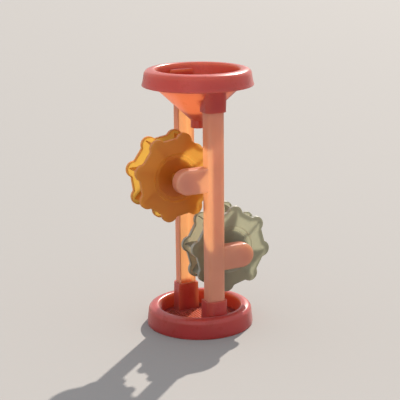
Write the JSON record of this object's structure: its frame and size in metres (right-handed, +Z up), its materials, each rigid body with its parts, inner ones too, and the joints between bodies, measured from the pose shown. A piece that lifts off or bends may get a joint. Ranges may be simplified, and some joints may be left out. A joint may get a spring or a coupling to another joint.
{
  "type": "sand and water mill",
  "caption": "Toy sand-and-water mill: a funnel dish on two posts above two paddle wheels that spin on axles, standing in a round sieve tray.",
  "frame": {"origin": "centre of the sieve tray's underside, on the ground", "axes": "+Z up; the wheel axles run along Y, front post at -Y; upper wheel on the -X side, lower wheel on the +X side"},
  "size_m": [0.2211, 0.1642, 0.3901],
  "materials": {
    "coral_plastic": "frosted, slightly translucent moulded polypropylene",
    "peach_plastic": "frosted, slightly translucent moulded polypropylene",
    "amber_plastic": "frosted, slightly translucent moulded polypropylene",
    "sage_plastic": "frosted, slightly translucent moulded polypropylene",
    "natural_plastic": "plain undyed moulded plastic"
  },
  "bodies": {
    "stand": {"sieve_tray": "coral_plastic", "sieve_plate": "coral_plastic", "funnel_dish": "coral_plastic", "front_post": "peach_plastic", "rear_post": "peach_plastic", "upper_axle": "natural_plastic", "upper_front_spacer": "natural_plastic", "upper_rear_spacer": "natural_plastic", "lower_axle": "natural_plastic", "lower_front_spacer": "natural_plastic", "lower_rear_spacer": "natural_plastic"},
    "upper_wheel": {"upper_wheel_front_disc": "amber_plastic", "upper_wheel_rear_disc": "amber_plastic", "upper_wheel_paddles": "amber_plastic"},
    "lower_wheel": {"lower_wheel_front_disc": "sage_plastic", "lower_wheel_rear_disc": "sage_plastic", "lower_wheel_paddles": "sage_plastic"}
  },
  "joints": [
    {"name": "upper_wheel_spin", "type": "hinge", "parent": "stand", "child": "upper_wheel", "pos_m": [-0.0447, 0, 0.2348], "axis": [0, 1, 0], "continuous": true},
    {"name": "lower_wheel_spin", "type": "hinge", "parent": "stand", "child": "lower_wheel", "pos_m": [0.0447, 0, 0.1134], "axis": [0, -1, 0], "continuous": true}
  ]
}
